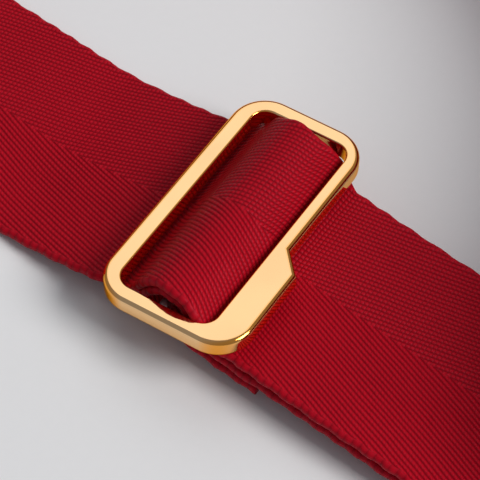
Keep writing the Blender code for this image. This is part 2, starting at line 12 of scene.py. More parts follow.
import bmesh
import bpy
import numpy as np
from mathutils import Matrix, Vector
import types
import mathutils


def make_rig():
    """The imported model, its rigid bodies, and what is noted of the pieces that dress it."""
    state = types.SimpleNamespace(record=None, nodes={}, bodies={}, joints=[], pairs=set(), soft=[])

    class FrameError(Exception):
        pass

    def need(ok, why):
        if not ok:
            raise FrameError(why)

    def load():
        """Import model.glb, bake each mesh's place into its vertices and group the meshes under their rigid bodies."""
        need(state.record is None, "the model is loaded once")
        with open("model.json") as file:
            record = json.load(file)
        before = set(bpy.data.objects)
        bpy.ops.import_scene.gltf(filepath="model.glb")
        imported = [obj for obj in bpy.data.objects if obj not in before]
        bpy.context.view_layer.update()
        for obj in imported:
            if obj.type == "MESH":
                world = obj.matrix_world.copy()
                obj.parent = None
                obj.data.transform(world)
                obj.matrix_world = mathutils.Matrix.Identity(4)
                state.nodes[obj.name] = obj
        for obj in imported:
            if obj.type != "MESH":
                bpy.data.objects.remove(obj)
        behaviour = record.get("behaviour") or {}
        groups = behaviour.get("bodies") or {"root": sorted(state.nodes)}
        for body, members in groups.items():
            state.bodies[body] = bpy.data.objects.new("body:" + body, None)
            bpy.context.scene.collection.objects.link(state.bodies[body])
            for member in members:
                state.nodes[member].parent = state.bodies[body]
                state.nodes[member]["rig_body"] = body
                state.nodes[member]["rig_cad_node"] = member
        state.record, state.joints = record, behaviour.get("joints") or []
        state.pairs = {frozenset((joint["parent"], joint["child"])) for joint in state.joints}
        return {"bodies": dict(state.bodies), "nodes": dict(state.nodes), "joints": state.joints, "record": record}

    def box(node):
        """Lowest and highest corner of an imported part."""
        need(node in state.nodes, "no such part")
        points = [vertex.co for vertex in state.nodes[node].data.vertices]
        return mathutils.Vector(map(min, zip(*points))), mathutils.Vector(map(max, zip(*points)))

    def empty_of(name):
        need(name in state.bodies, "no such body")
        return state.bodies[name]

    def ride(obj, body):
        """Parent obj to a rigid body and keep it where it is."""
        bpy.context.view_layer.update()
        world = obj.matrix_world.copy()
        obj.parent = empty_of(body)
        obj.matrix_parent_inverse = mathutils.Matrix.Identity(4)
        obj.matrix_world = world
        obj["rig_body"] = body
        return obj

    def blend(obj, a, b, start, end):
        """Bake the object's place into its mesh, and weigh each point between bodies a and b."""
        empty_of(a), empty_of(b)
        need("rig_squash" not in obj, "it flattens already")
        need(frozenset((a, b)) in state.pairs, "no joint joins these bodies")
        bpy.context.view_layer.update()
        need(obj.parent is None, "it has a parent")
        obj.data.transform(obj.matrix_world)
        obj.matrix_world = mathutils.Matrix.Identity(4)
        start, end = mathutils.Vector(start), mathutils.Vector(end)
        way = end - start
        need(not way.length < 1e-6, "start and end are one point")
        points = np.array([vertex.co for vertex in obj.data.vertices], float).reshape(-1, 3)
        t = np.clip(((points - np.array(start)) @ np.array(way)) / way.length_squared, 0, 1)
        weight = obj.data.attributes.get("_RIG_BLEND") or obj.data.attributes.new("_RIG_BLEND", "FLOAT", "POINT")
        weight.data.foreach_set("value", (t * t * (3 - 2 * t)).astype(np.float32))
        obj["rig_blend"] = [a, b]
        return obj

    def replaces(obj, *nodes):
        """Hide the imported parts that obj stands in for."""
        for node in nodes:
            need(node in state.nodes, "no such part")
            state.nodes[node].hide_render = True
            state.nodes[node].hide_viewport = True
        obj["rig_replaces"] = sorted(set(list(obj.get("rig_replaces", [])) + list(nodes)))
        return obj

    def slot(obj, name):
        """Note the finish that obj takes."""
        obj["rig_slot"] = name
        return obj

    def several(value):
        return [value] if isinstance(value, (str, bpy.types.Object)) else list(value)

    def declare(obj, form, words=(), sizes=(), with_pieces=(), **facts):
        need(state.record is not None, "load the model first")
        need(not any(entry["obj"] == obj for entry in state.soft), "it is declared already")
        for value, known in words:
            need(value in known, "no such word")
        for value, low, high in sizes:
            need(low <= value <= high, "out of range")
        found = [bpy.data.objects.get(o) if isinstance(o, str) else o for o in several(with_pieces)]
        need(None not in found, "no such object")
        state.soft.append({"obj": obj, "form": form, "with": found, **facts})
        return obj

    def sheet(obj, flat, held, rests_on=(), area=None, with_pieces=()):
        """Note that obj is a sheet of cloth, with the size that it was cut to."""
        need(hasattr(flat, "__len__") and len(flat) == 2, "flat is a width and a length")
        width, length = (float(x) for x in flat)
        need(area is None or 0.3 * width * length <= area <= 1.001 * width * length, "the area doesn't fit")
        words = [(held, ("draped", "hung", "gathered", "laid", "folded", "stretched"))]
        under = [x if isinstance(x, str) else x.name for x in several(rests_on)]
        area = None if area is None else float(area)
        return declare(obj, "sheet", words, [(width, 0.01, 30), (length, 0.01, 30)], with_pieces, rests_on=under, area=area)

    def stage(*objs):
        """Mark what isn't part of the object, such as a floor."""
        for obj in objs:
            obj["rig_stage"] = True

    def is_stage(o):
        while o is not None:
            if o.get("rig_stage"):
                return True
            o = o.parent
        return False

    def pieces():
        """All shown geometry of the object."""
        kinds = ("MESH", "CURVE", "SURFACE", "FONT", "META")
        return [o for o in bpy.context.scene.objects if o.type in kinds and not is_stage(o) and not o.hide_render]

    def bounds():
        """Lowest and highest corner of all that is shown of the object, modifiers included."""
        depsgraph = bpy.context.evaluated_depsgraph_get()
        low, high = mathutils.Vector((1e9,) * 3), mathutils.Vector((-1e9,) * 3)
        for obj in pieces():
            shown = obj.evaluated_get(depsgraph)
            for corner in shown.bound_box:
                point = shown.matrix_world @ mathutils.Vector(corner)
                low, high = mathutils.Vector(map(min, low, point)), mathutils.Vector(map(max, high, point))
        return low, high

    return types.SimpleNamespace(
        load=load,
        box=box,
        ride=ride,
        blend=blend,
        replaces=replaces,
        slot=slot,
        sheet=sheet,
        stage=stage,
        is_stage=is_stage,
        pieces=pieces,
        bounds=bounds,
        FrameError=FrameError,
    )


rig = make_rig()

for old in list(bpy.data.objects):
    bpy.data.objects.remove(old, do_unlink=True)
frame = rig.load()
cad_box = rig.bounds()

MM = 0.001
GAP = 0.3

# How close points are joined, in metres
PLATE_WELD = 5e-6
WIRE_WELD = 2e-6
TURNED_WELD = 5e-7

# Webbing
WEB_WIDTH = 39.2
WEB_THICK = 1.6
HALF_WEB = WEB_THICK / 2
LAYER = WEB_THICK + GAP
TABLE_LAYER = HALF_WEB + 0.05
REPEAT = 0.82  # a twill line to the next, across the webbing
PICK = 0.715  # one weft thread to the next, along it
RELIEF = 0.1  # how far the valleys between the twill lines lie below them
FINE_COLUMNS = 150  # a face with at least as many columns has the relief
SCALLOP = 0.06  # how far the selvage pulls in between its loops
WANDER = 0.1  # how far the webbing strays sideways
EDGE_PULL = 0.11  # how unevenly the weft pulls the selvages in
NEAR_BEADS = 0.42  # how deep the picks cut each twill line, on the near half and on the far one
FAR_BEADS = 0.72

# Slider
SLIDER_CENTRE = (0.0, 0.8, 9.93)
SLIDER_YAW = 3.0
SLIDER_PITCH = 6.4
PLATE_THICK = 3.3
SLIDER_HALF_LENGTH = 24.0
SLIDER_LEFT = -11.5
SLIDER_RIGHT = 11.5
SLIDER_TAB = 15.0
STEP_TOP = -1.4
STEP_FOOT = -5.3
SLIDER_CORNER = 6.2
WINDOW = (-8.3, 9.1, -21.2, 21.2)
WINDOW_CORNER = 2.7
OUTER_EDGE = 0.85
INNER_EDGE = 0.35
BAR_X = 0.4
BAR_RADIUS = 1.0
BAR_HOLE_RADIUS = 1.3
BAR_HOLE_DEPTH = 1.5
SQUARE_WITHIN = 18.0
SKEW_REACH = 55.0
SPREAD = 0.022  # how much wider the webbing lies where it is pulled through the window
ARCH_SHIFT = 0.3  # and how far to the side, more at its left than at its right
ARCH_LEAN = 0.08
FOOT_FLARES = ((-7.6, 5.0, 1.1), (8.4, 4.4, 1.6))  # the arch's feet spread on the far side: X, reach, by
SPREAD_FULL = 7.0  # this near the slider's middle
SPREAD_END = 14.0
WRAP_SHIFT = 0.4  # the layer below the arch lies straight

# Where the pieces of webbing meet
TWIST_JOIN = -108.0
ENTRY_START = -60.0
ARCH_JOIN = 11.0
WRAP_END = 20.0
TAIL_END = 18.6
RUN_END = 112.0

# Hook plate, swivel, hook and gate
BAR_ONE = (148.0, 151.2)
BAR_TWO = (157.6, 160.8)
BAR_THREE = (167.0, 171.5)
HOOK_PLATE_HALF = 24.6
SLOT_HALF = 21.4
SLOT_CORNER = 2.0
HOOK_Z = 3.6
FOLD_RADIUS = PLATE_THICK / 2 + GAP + HALF_WEB
END_TAIL = 119.0
END_TWIST_DONE = 116.0
BOSS_RADIUS = 3.4
BOSS_END = 176.0
RIVET_RADIUS = 1.3
RIVET_BORE = 1.6
RIVET_HEAD_RADIUS = 2.2
RIVET_HEAD_LENGTH = 1.5
WASHER = (176.3, 177.1)
COLLAR = (177.4, 184.5)
RIVET_TIP = 181.4
HOOK_WIRE = 2.4
SHANK_X = 190.0
HOOK_BOW_X = 205.0
HOOK_BOW_RADIUS = 8.6
NOSE_X = 202.0
LUG = (182.8, 190.6, -10.2, 10.9)
LUG_CORNER = 2.6
LUG_HALF_THICK = HOOK_WIRE + 0.55
GATE_PIVOT = (187.4, -7.4)
GATE_TIP_X = 201.4
GATE_ROOT = 2.3
GATE_TIP_HALF = 1.7
GATE_HALF_THICK = 1.6
SLOT_HALF_THICK = 1.95
SLOT_LOW = (184.6, -12.0)
SLOT_HIGH = (192.0, -3.7)
POCKET_HALF_THICK = 0.95
POCKET_LOW = (184.0, -9.6)
POCKET_HIGH = (190.2, -2.0)
PIN_RADIUS = 0.8
PIN_BORE = 1.05
CAST_VOXEL = 0.2
SPRING_WIRE = 0.18
SPRING_COIL = 1.3
SPRING_TURNS = 2.5
SPRING_PITCH = 0.5
GROOVE_RADIUS = 0.28

# Where a stretch passes from following one body to following the next
ARCH_HELD = -14.0
RUN_FREE = 20.0
FOLD_TURNS = (148.0, 156.0)
LOOP_TURNS = (140.0, 156.0)

# Stitching: a box's ends and half its width, and the thread
SLIDER_BOX = (11.0, 17.0)
SLIDER_BOX_HALF = 15.6
SLIDER_BOX_Z = 2.1
SLIDER_BOX_TILT = 1.9
HOOK_BOX = (121.6, 143.4)
HOOK_BOX_HALF = 15.9
THREAD_RADIUS = 0.26
STITCH_LENGTH = 2.9
STITCH_SHARE = 0.46  # half of each step that thread shows in
STITCH_DIP = 0.34
STITCH_STANDS = 0.05
STITCH_SKEW = 4  # degrees

# Colours that no slot has
PAINTED_RIM_REFLECTION = (1.0, 0.42, 0.07)  # painted reflection: warm orange on the plating's rounded edges, as if they caught a warm light
FLOOR_COLOURS = ((0.78, 0.79, 0.81), (0.83, 0.84, 0.86))
SKY_COLOUR = (0.92, 0.95, 1.0)
SKY_STRENGTH = 0.28

# Lights: the side of the slider they are on, distance and size in metres, watts, colour
LIGHTS = {
    "window_light": ((-0.45, 0.51, 0.73), 3.4, 2.7, 19.2, (1.0, 0.99, 0.97)),
    "side_light": ((0.70, 0.18, 0.69), 3.4, 1.6, 86.0, (1.0, 0.97, 0.94)),
}

# Camera: degrees round from the front, up and rolled, distance in mm, lens, and how far it looks aside
CAMERA_TURN = (28.46, 54.6, 9.08)
CAMERA_DISTANCE = 466.3
CAMERA_LENS = 217.2
CAMERA_AIM = (0.004278, 0.005183)

# Neck loop
TWIST_START = -62.0
TWIST_LENGTH = 75.0
NECK_MIDDLE_Y = 55.0
LIFT_START = 30.0
LIFT_LENGTH = 70.0
END_TWIST_START = 48.0

# Where the strap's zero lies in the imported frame: the hook plate's box has its left edge and middle
plate_low, plate_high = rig.box("hook_plate")
ZERO = Vector((plate_low.x - BAR_ONE[0] * MM, (plate_low.y + plate_high.y) / 2, 0.0))


def row(place):
    return ZERO + Vector(place) * MM


def on_line(x):
    return row((x, 0.0, 0.0))


# ---------------------------------------------------------------- shader helpers


class Value:
    """A number in a shader. Each sum or product of such numbers becomes a Math node."""

    def __init__(self, tree, socket):
        self.tree = tree
        self.socket = socket

    def math(self, operation, *others):
        node = self.tree.nodes.new("ShaderNodeMath")
        node.operation = operation
        for slot, item in zip(node.inputs, (self, *others)):
            if isinstance(item, Value):
                self.tree.links.new(item.socket, slot)
            else:
                slot.default_value = item
        return Value(self.tree, node.outputs[0])

    def __add__(self, other):
        return self.math("ADD", other)

    def __sub__(self, other):
        return self.math("SUBTRACT", other)

    def __mul__(self, other):
        return self.math("MULTIPLY", other)

    def __truediv__(self, other):
        return self.math("DIVIDE", other)

    def size(self):
        return self.math("ABSOLUTE")

    def mound(self):
        """0 at whole numbers and 1 half-way between them, round at the top and sharp at the foot."""
        away = (self.math("FRACT") - 0.5) * 2.0
        return (away * away * -1.0) + 1.0

    def between(self, low, high):
        """0 up to low, 1 from high, smooth between."""
        node = self.tree.nodes.new("ShaderNodeMapRange")
        node.interpolation_type = "SMOOTHSTEP"
        self.tree.links.new(self.socket, node.inputs["Value"])
        node.inputs["From Min"].default_value = low
        node.inputs["From Max"].default_value = high
        return Value(self.tree, node.outputs["Result"])


class Shader:
    """A material with one Principled shader, and short ways to wire it."""

    def __init__(self, name, **settings):
        self.material = bpy.data.materials.new(name)
        self.material.use_nodes = True
        self.tree = self.material.node_tree
        self.surface = self.tree.nodes["Principled BSDF"]
        for socket, value in settings.items():
            self.surface.inputs[socket.replace("_", " ")].default_value = value

    def coordinates(self, uv=None):
        """The three numbers of the object's own coordinates in mm, or of a UV map."""
        if uv:
            node = self.tree.nodes.new("ShaderNodeUVMap")
            node.uv_map = uv
            source = node.outputs["UV"]
        else:
            node = self.tree.nodes.new("ShaderNodeTexCoord")
            source = node.outputs["Object"]
        split = self.tree.nodes.new("ShaderNodeSeparateXYZ")
        self.tree.links.new(source, split.inputs[0])
        scale = 1.0 if uv else 1 / MM
        return [Value(self.tree, output) * scale for output in split.outputs]

    def noise(self, x, y, z, detail=2.0, roughness=0.5):
        """Noise from 0 to 1 that changes about once per unit of x, y and z."""
        join = self.tree.nodes.new("ShaderNodeCombineXYZ")
        for slot, item in zip(join.inputs, (x, y, z)):
            if isinstance(item, Value):
                self.tree.links.new(item.socket, slot)
            else:
                slot.default_value = item
        node = self.tree.nodes.new("ShaderNodeTexNoise")
        node.inputs["Scale"].default_value = 1.0
        node.inputs["Detail"].default_value = detail
        node.inputs["Roughness"].default_value = roughness
        self.tree.links.new(join.outputs[0], node.inputs["Vector"])
        return Value(self.tree, node.outputs["Fac"])

    def mix(self, factor, low, high):
        """A colour between two, each a colour or an earlier mix."""
        node = self.tree.nodes.new("ShaderNodeMix")
        node.data_type = "RGBA"
        self.tree.links.new(factor.socket, node.inputs["Factor"])
        for slot, item in ((node.inputs[6], low), (node.inputs[7], high)):
            if isinstance(item, tuple):
                slot.default_value = (*item, 1.0)
            else:
                self.tree.links.new(item, slot)
        return node.outputs[2]

    def colour(self, socket):
        self.tree.links.new(socket, self.surface.inputs["Base Color"])

    def roughness(self, value):
        self.tree.links.new(value.socket, self.surface.inputs["Roughness"])

    def bump(self, *layers):
        """Each layer is a height, in mm, and how strongly it shows."""
        normal = None
        for height, strength in layers:
            node = self.tree.nodes.new("ShaderNodeBump")
            node.inputs["Strength"].default_value = strength
            node.inputs["Distance"].default_value = MM
            self.tree.links.new(height.socket, node.inputs["Height"])
            if normal is not None:
                self.tree.links.new(normal, node.inputs["Normal"])
            normal = node.outputs["Normal"]
        self.tree.links.new(normal, self.surface.inputs["Normal"])


# ---------------------------------------------------------------- materials


def tinted(colour, share):
    return tuple(channel * share for channel in colour)


def cloth_material():
    """Crimson polyester in a herringbone twill: lines of floats, reversed at mid-width, with painted shade in the
    valleys between them.
    """
    crimson = tuple(slots["webbing"]["base_color"])
    shader = Shader("crimson_webbing", Specular_IOR_Level=0.2, Specular_Tint=(1.0, 0.35, 0.5, 1.0),
                    Sheen_Weight=0.03, Sheen_Roughness=0.3, Sheen_Tint=(1.0, 0.25, 0.4, 1.0))
    across, along, _ = shader.coordinates("cloth")
    wander = (shader.noise(across * 0.25, along * 0.12, 0.0) - 0.5) * 0.5
    line = (across.size() / REPEAT + along / (4 * PICK) + wander).mound()
    pick = (along / PICK + wander).mound()
    far = (across * -1.0).between(-0.4, 0.4)
    beads = far * (FAR_BEADS - NEAR_BEADS) + NEAR_BEADS
    float_height = line * (beads * pick - beads + 1.0)
    fibre = shader.noise(across * 16.0, along * 1.6, 0.0, 2.0)
    strand = shader.noise(across * 3.1, along * 0.5, 5.0, 1.0)
    selvage = across.size().between(WEB_WIDTH / 2 - 0.95, WEB_WIDTH / 2 - 0.7)
    cord = (along / (2 * PICK)).mound() * 0.45 + 0.3
    height = float_height * (selvage * -1.0 + 1.0) + cord * selvage
    patch = shader.noise(across * 0.09, along * 0.05, 9.0, 3.0)
    # painted shade: the weave's height darkens the valleys between floats and beside the selvage cord; fibre, strand
    # and patch are the yarn's own tone
    valley_shade_and_tone = height * 0.62 + fibre * 0.26 + strand * 0.16 + (patch - 0.5) * 0.22
    shade = shader.mix(valley_shade_and_tone.between(0.05, 0.95), tinted(crimson, 0.43), tinted(crimson, 1.1))
    shader.colour(shade)
    shader.roughness(fibre * 0.16 + height * -0.08 + 0.42)
    shader.bump((height * 0.17, 0.9), (fibre * 0.03 + strand * 0.03, 0.5))
    return shader.material


def thread_material():
    """Two-ply sewing thread: fine slanting twist, a little lighter than the webbing."""
    colour = tuple(slots["thread"]["base_color"])
    shader = Shader("crimson_thread", Specular_IOR_Level=0.5, Sheen_Weight=0.25, Sheen_Roughness=0.4,
                    Sheen_Tint=(1.0, 0.5, 0.6, 1.0))
    x, y, z = shader.coordinates()
    twist = ((x + y) * 2.4 + z * 1.2).mound()
    lint = shader.noise(x * 9.0, y * 9.0, z * 9.0, 3.0)
    # painted shade: the grooves of the twist are darker; lint is the thread's own tone
    shader.colour(shader.mix(twist * 0.7 + lint * 0.3, tinted(colour, 0.45), tinted(colour, 1.5)))
    shader.roughness(lint * 0.2 + 0.4)
    shader.bump((twist * 0.05 + lint * 0.02, 0.7))
    return shader.material


def gold_material(name, finish):
    """Polished plating: faint ripple of the metal below, hairline scratches, and a painted warm reflection on rounded
    edges.
    """
    shader = Shader(name, Metallic=1.0, Specular_Tint=(1.0, 0.62, 0.3, 1.0))
    x, y, z = shader.coordinates()
    colour = tuple(slots["gold_plating"]["base_color"])
    cloud = shader.noise(x * 0.11, y * 0.11, z * 0.11, 3.0)
    lines = shader.noise(x * 0.7 + y * 0.5, y * 9.0 - x * 7.0, z * 3.0, 2.0, 0.6)
    rubbed = shader.noise(x * 5.5, y * 0.35, z * 1.5, 3.0, 0.65)
    edge = shader.tree.nodes.new("ShaderNodeAttribute")
    edge.attribute_name = "rim"
    rim = Value(shader.tree, edge.outputs["Fac"])
    body = shader.mix(cloud.between(0.3, 0.7), tinted(colour, 0.94), colour)
    # painted reflection: faces weighted by rim are mixed towards a warm orange, as if lit by a warm light
    shader.colour(shader.mix(rim, body, PAINTED_RIM_REFLECTION))
    haze = lines.between(0.62, 0.78) * 0.07 + rubbed.between(0.55, 0.8) * 0.05
    shader.roughness(haze + rim * 0.05 + cloud * 0.05 + finish)
    ripple = shader.noise(x * 0.19, y * 0.16, z * 0.19, 1.0)
    shader.bump((ripple * 0.5, 0.05), (lines.between(0.66, 0.74) * 0.004 + rubbed * 0.002, 0.35))
    return shader.material


def steel_material(name, streaks):
    """Plain steel wire and rod: drawn or turned streaks along the axis that streaks names."""
    colour = tuple(slots["steel"]["base_color"])
    shader = Shader(name, Metallic=1.0)
    places = shader.coordinates()
    fine = [place * (0.4 if axis == streaks else 9.0) for axis, place in enumerate(places)]
    grain = shader.noise(*fine, 3.0, 0.6)
    stain = shader.noise(*[place * 0.5 for place in places], 3.0)
    shader.colour(shader.mix(stain.between(0.35, 0.75), colour, tinted(colour, 0.6)))
    shader.roughness(grain * 0.2 + stain * 0.12 + 0.16)
    shader.bump((grain * 0.02, 0.5))
    return shader.material


def floor_material():
    shader = Shader("pale_floor", Specular_IOR_Level=0.4)
    x, y, _ = shader.coordinates()
    speckle = shader.noise(x * 0.6, y * 0.6, 0.0, 3.0)
    cloud = shader.noise(x * 0.004, y * 0.004, 3.0, 2.0)
    shader.colour(shader.mix(cloud * 0.6 + speckle * 0.4, *FLOOR_COLOURS))
    shader.roughness(speckle * 0.15 + 0.4)
    return shader.material


# ---------------------------------------------------------------- outlines and paths


def ease(value):
    value = min(max(value, 0.0), 1.0)
    return value * value * (3 - 2 * value)


def arc(centre, radius, start, end, steps):
    angles = [math.radians(start + (end - start) * i / steps) for i in range(steps + 1)]
    return [(centre[0] + radius * math.cos(a), centre[1] + radius * math.sin(a)) for a in angles]


def rounded_box(left, right, bottom, top, radius, steps=16):
    points = []
    corners = ((right, bottom, -90), (right, top, 0), (left, top, 90), (left, bottom, 180))
    for x, y, start in corners:
        centre = (x - math.copysign(radius, x - (left + right) / 2),
                  y - math.copysign(radius, y - (bottom + top) / 2))
        points += arc(centre, radius, start, start + 90, steps)
    return points


def through(points, steps=14):
    """A smooth curve through the points."""
    ends = [points[0]] + list(points) + [points[-1]]
    made = []
    for i in range(1, len(ends) - 2):
        a, b, c, d = (Vector(p) for p in ends[i - 1:i + 3])
        for step in range(steps):
            t = step / steps
            made.append(0.5 * (2 * b + (c - a) * t + (2 * a - 5 * b + 4 * c - d) * t * t
                               + (3 * b - a - 3 * c + d) * t ** 3))
    return made + [Vector(points[-1])]


def flowing(points, steps=16):
    """A cubic B-spline drawn by the points, from the first to the last of them."""
    first, last = Vector(points[0]), Vector(points[-1])
    ends = [2 * first - Vector(points[1])] + [Vector(p) for p in points]
    ends.append(2 * last - Vector(points[-2]))
    made = []
    for a, b, c, d in zip(ends, ends[1:], ends[2:], ends[3:]):
        for step in range(steps):
            t = step / steps
            made.append(((1 - t) ** 3 * a + (3 * t ** 3 - 6 * t * t + 4) * b
                         + (-3 * t ** 3 + 3 * t * t + 3 * t + 1) * c + t ** 3 * d) / 6)
    return made + [last]


def cut(path, start, end):
    """The part of an XZ path between two values of X, where X always grows."""
    def at(x):
        for p, q in zip(path, path[1:]):
            if p.x <= x <= q.x:
                return p.lerp(q, (x - p.x) / (q.x - p.x))
        return path[-1]

    inside = [p for p in path if start + 0.02 < p.x < end - 0.02]
    return [at(start)] + inside + [at(end)]


# ---------------------------------------------------------------- the strap's route


def upper_path():
    flat = TABLE_LAYER
    return through([(-64, flat), (-48, flat), (-34, flat + 0.2), (-25, 2.3), (-18, 3.75),
                    (-13.5, 4.95), (-10, 5.6), (-7.5, 6.1), (-5.6, 8.4), (-3.9, 11.7), (-1.4, 13.8),
                    (1.2, 14.35), (4.0, 13.7), (6.3, 12.1), (7.6, 10.4), (8.2, 9.0), (9.2, 7.95), (11, 7.45),
                    (14.8, 6.9), (26, 6.45), (36, 6.05), (45, 5.6), (60, 4.5), (75, 3.4),
                    (90, 2.85), (104, 2.8), (112, 2.9), (124, 3.9), (136, 5.6), (146, 6.3),
                    (BAR_ONE[1], HOOK_Z + FOLD_RADIUS)])


def lower_path():
    flat = TABLE_LAYER
    return through([(8, 5.9), (11, 5.3), (14.8, 4.95), (20, 4.75), (26, 4.5), (36, 4.1), (45, 3.65),
                    (60, 2.55), (75, 1.5), (90, 0.95), (104, flat), (112, flat),
                    (130, flat), (BAR_ONE[1], flat)])


def wrap_path():
    """From the cut tail below the slider, loosely round the centre bar and out as the lower run."""
    return through([(TAIL_END, 2.95), (14.8, 3.05), (11, 3.25), (7.4, 3.7), (3.6, 4.3), (0.4, 4.9),
                    (-2.4, 5.7), (-4.1, 7.2), (-3.7, 9.0), (-2.5, 10.8), (-0.7, 12.2), (0.9, 12.5),
                    (3.0, 12.0), (4.9, 10.5), (6.2, 8.2), (8, 6.15), (11, 5.4), (14.8, 4.95),
                    (WRAP_END, 4.75)])


def level(path, shift=ARCH_SHIFT, lean=ARCH_LEAN):
    """Stations on an XZ path: the middle, and across it, square to the slider's bars near the slider."""
    made = []
    for p in path:
        squared = 1 - ease((abs(p.x) - SQUARE_WITHIN) / (SKEW_REACH - SQUARE_WITHIN))
        angle = math.radians(SLIDER_YAW * squared)
        side = Vector((math.sin(angle), -math.cos(angle), 0.0))
        spread = 1 - ease((abs(p.x) - SPREAD_FULL) / (SPREAD_END - SPREAD_FULL))
        flare = max(ease(1 - abs(p.x - x) / reach) * extra for x, reach, extra in FOOT_FLARES)
        aside = (shift - lean * p.x) * spread + flare / 2
        made.append((Vector((p.x, aside, p.y)), side * (1 + SPREAD * spread + flare / WEB_WIDTH)))
    return made


def neck_stations():
    """Stations round the neck loop, which stands on its edge and comes back flat on the hook side."""
    plan = flowing([(ENTRY_START, 0), (-72, 0), (-86, 0), (-102, 0), (-118, 0), (-136, 1.5),
                    (-157, 7), (-176, 20), (-189, 40), (-193, 62), (-186, 84), (-168, 100),
                    (-143, 109), (-112, 113), (-80, 114), (-48, 112), (-18, 106), (8, 96), (32, 79),
                    (53, 57), (70, 33), (84, 12), (97, 1.5), (108, 0), (END_TWIST_DONE, 0)])
    top_z = HOOK_Z + FOLD_RADIUS + 2 * LAYER
    made = []
    for i, place in enumerate(plan):
        forward = (plan[min(i + 1, len(plan) - 1)] - plan[max(i - 1, 0)]).normalized()
        if place.y < NECK_MIDDLE_Y and place.x < 0:
            turn = math.radians(90 * ease((TWIST_START - place.x) / TWIST_LENGTH))
        else:
            done = (place.x - END_TWIST_START) / (END_TWIST_DONE - END_TWIST_START)
            turn = math.radians(90 + 90 * ease(done))
        lift = 0.0
        if place.x > LIFT_START:
            lift = (top_z - TABLE_LAYER) * ease((place.x - LIFT_START) / LIFT_LENGTH)
        on_edge = math.sin(turn)
        height = (TABLE_LAYER - HALF_WEB + WEB_WIDTH / 2 * on_edge + HALF_WEB * abs(math.cos(turn))
                  + lift)
        side = Vector((-forward.y, forward.x, 0.0)) * math.cos(turn) + Vector((0, 0, on_edge))
        made.append((Vector((place.x, place.y, height)), side))
    return made


def end_loop_path():
    """From the neck loop's end over the layers, round the plate's second bar and back as the tail."""
    strand_z = HOOK_Z + FOLD_RADIUS + 2 * LAYER
    tail_z = strand_z - LAYER
    tight = GAP + HALF_WEB
    side = BAR_TWO[0] - tight
    turn = [Vector(p) for p in arc((BAR_TWO[1], HOOK_Z), FOLD_RADIUS, 60, -90, 36)]
    strand = through([(END_TWIST_DONE, strand_z), (134, strand_z), (150, strand_z),
                      (154.5, strand_z - 0.3), (158.4, strand_z - 1.7), turn[0]])
    corner = [Vector(p) for p in arc((BAR_TWO[0], HOOK_Z - FOLD_RADIUS + tight), tight, -90, -180, 16)]
    tail = through([corner[-1], (side, 4.6), (155.4, 7.2), (152.8, tail_z), (148, tail_z),
                    (134, tail_z), (END_TAIL, tail_z)])
    return strand[:-1] + turn + corner + tail[1:]


def strap_stretches():
    """The strap's stations in order along its whole length, in the six stretches it is made in."""
    upper, lower = upper_path(), lower_path()
    neck = neck_stations()
    join = next(i for i, (place, _) in enumerate(neck) if place.x < TWIST_JOIN)
    fold = [Vector(p) for p in arc((BAR_ONE[1], HOOK_Z), FOLD_RADIUS, -90, 90, 48)]
    return {
        "strap_lower_wrap": level(wrap_path() + cut(lower, WRAP_END, RUN_END)[1:], WRAP_SHIFT, 0.0),
        "strap_hook_fold": level(cut(lower, RUN_END, BAR_ONE[1])[:-1] + fold
                                 + cut(upper, RUN_END, BAR_ONE[1])[-2::-1]),
        "strap_upper": level(cut(upper, ARCH_JOIN, RUN_END)[::-1]),
        "strap_entry_arch": level(cut(upper, ENTRY_START, ARCH_JOIN)[::-1]) + neck[1:join + 1],
        "strap_neck": neck[join:],
        "strap_end_loop": level(end_loop_path()),
    }


# ---------------------------------------------------------------- webbing meshes


def normalised(vectors):
    return vectors / np.linalg.norm(vectors, axis=1)[:, None]


class Route:
    """The whole strap as arrays, to be read at any distance along it."""

    def __init__(self, stretches):
        places, sides = [], []
        self.ends = {}
        for name, stations in stretches.items():
            first = len(places) - 1 if places else 0
            fresh = stations[1:] if places else stations
            places += [place for place, _ in fresh]
            sides += [side for _, side in fresh]
            self.ends[name] = (first, len(places) - 1)
        self.places = np.array(places)
        self.sides = np.array(sides)
        steps = np.linalg.norm(np.diff(self.places, axis=0), axis=1)
        self.along = np.concatenate([[0.0], np.cumsum(steps)])

    def span(self, name):
        first, last = self.ends[name]
        return self.along[first], self.along[last]

    def read(self, at):
        """Middle, across and face directions at these distances."""
        def over(values, where):
            return np.column_stack([np.interp(where, self.along, values[:, k]) for k in range(3)])

        middle = over(self.places, at)
        side = over(self.sides, at)
        reach = 0.25
        forward = normalised(over(self.places, at + reach) - over(self.places, at - reach))
        return middle, side, normalised(np.cross(side, forward))


def mound(value):
    away = (value - np.floor(value) - 0.5) * 2
    return 1 - away * away


def twill(across, along):
    """Height of the weave, 0 to 1, as the cloth's material has it."""
    line = mound(np.abs(across) / REPEAT + along / (4 * PICK))
    pick = mound(along / PICK)
    beads = np.where(across < 0, FAR_BEADS, NEAR_BEADS)
    return line * (1 - beads + beads * pick)


def section(columns_a, columns_b, edge_steps=7):
    """The webbing's closed outline: across, and -1 to 1 through its thickness."""
    flat = WEB_WIDTH / 2 - HALF_WEB
    a = np.linspace(-flat, flat, columns_a + 1)
    b = np.linspace(flat, -flat, columns_b + 1)
    round_edge = np.linspace(90, -90, edge_steps + 2)[1:-1]
    out = HALF_WEB * np.cos(np.radians(round_edge))
    through_edge = np.sin(np.radians(round_edge))
    across = np.concatenate([a, flat + out, b, -flat - out])
    depth = np.concatenate([np.ones(len(a)), through_edge, -np.ones(len(b)), -through_edge])
    return across, depth


